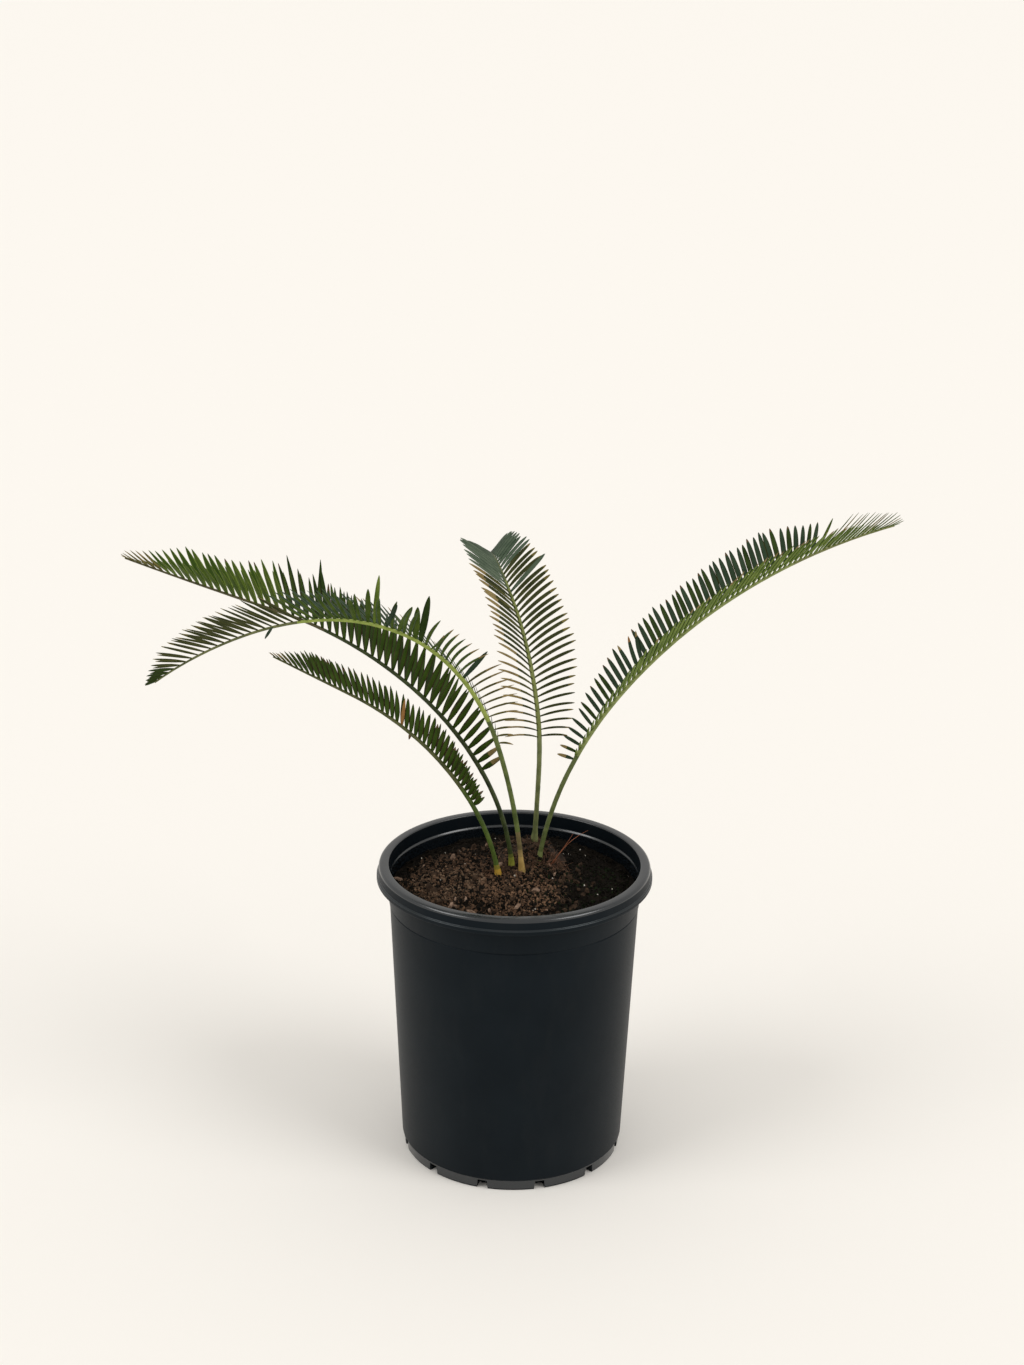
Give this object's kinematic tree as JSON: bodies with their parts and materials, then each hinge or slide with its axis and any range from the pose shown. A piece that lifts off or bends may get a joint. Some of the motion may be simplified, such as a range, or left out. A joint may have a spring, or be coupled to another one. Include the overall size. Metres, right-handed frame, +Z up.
{
  "type": "potted cycad",
  "caption": "Young cycad with arching feather fronds on a low fibrous crown, in a tall black nursery pot filled with soil.",
  "frame": {"origin": "centre of the pot's flat underside, on the surface it stands on", "axes": "+Z up along the pot's axis; the picture's camera looks along +Y with +X to its right"},
  "size_m": [0.6111, 0.3695, 0.5335],
  "materials": {
    "pot": "satin black moulded plastic",
    "soil": "moist dark potting mix with bark and grit",
    "crown": "brown woolly fibre and scale leaves",
    "stalk": "smooth grey-green leaf stalk",
    "leaf": "stiff satin dark green leaflets"
  },
  "bodies": {
    "root": {"crown": "crown", "frond_back_inner": "leaf", "frond_back_outer": "leaf", "frond_front_inner": "leaf", "frond_front_middle": "leaf", "frond_front_outer": "leaf", "frond_low_inner": "leaf", "frond_low_outer": "leaf", "frond_rear_inner": "leaf", "frond_rear_outer": "leaf", "frond_right_inner": "leaf", "frond_right_outer": "leaf", "petiole_back": "stalk", "petiole_front": "stalk", "petiole_low": "stalk", "petiole_rear": "stalk", "petiole_right": "stalk", "pot": "pot", "soil": "soil"}
  },
  "joints": []
}
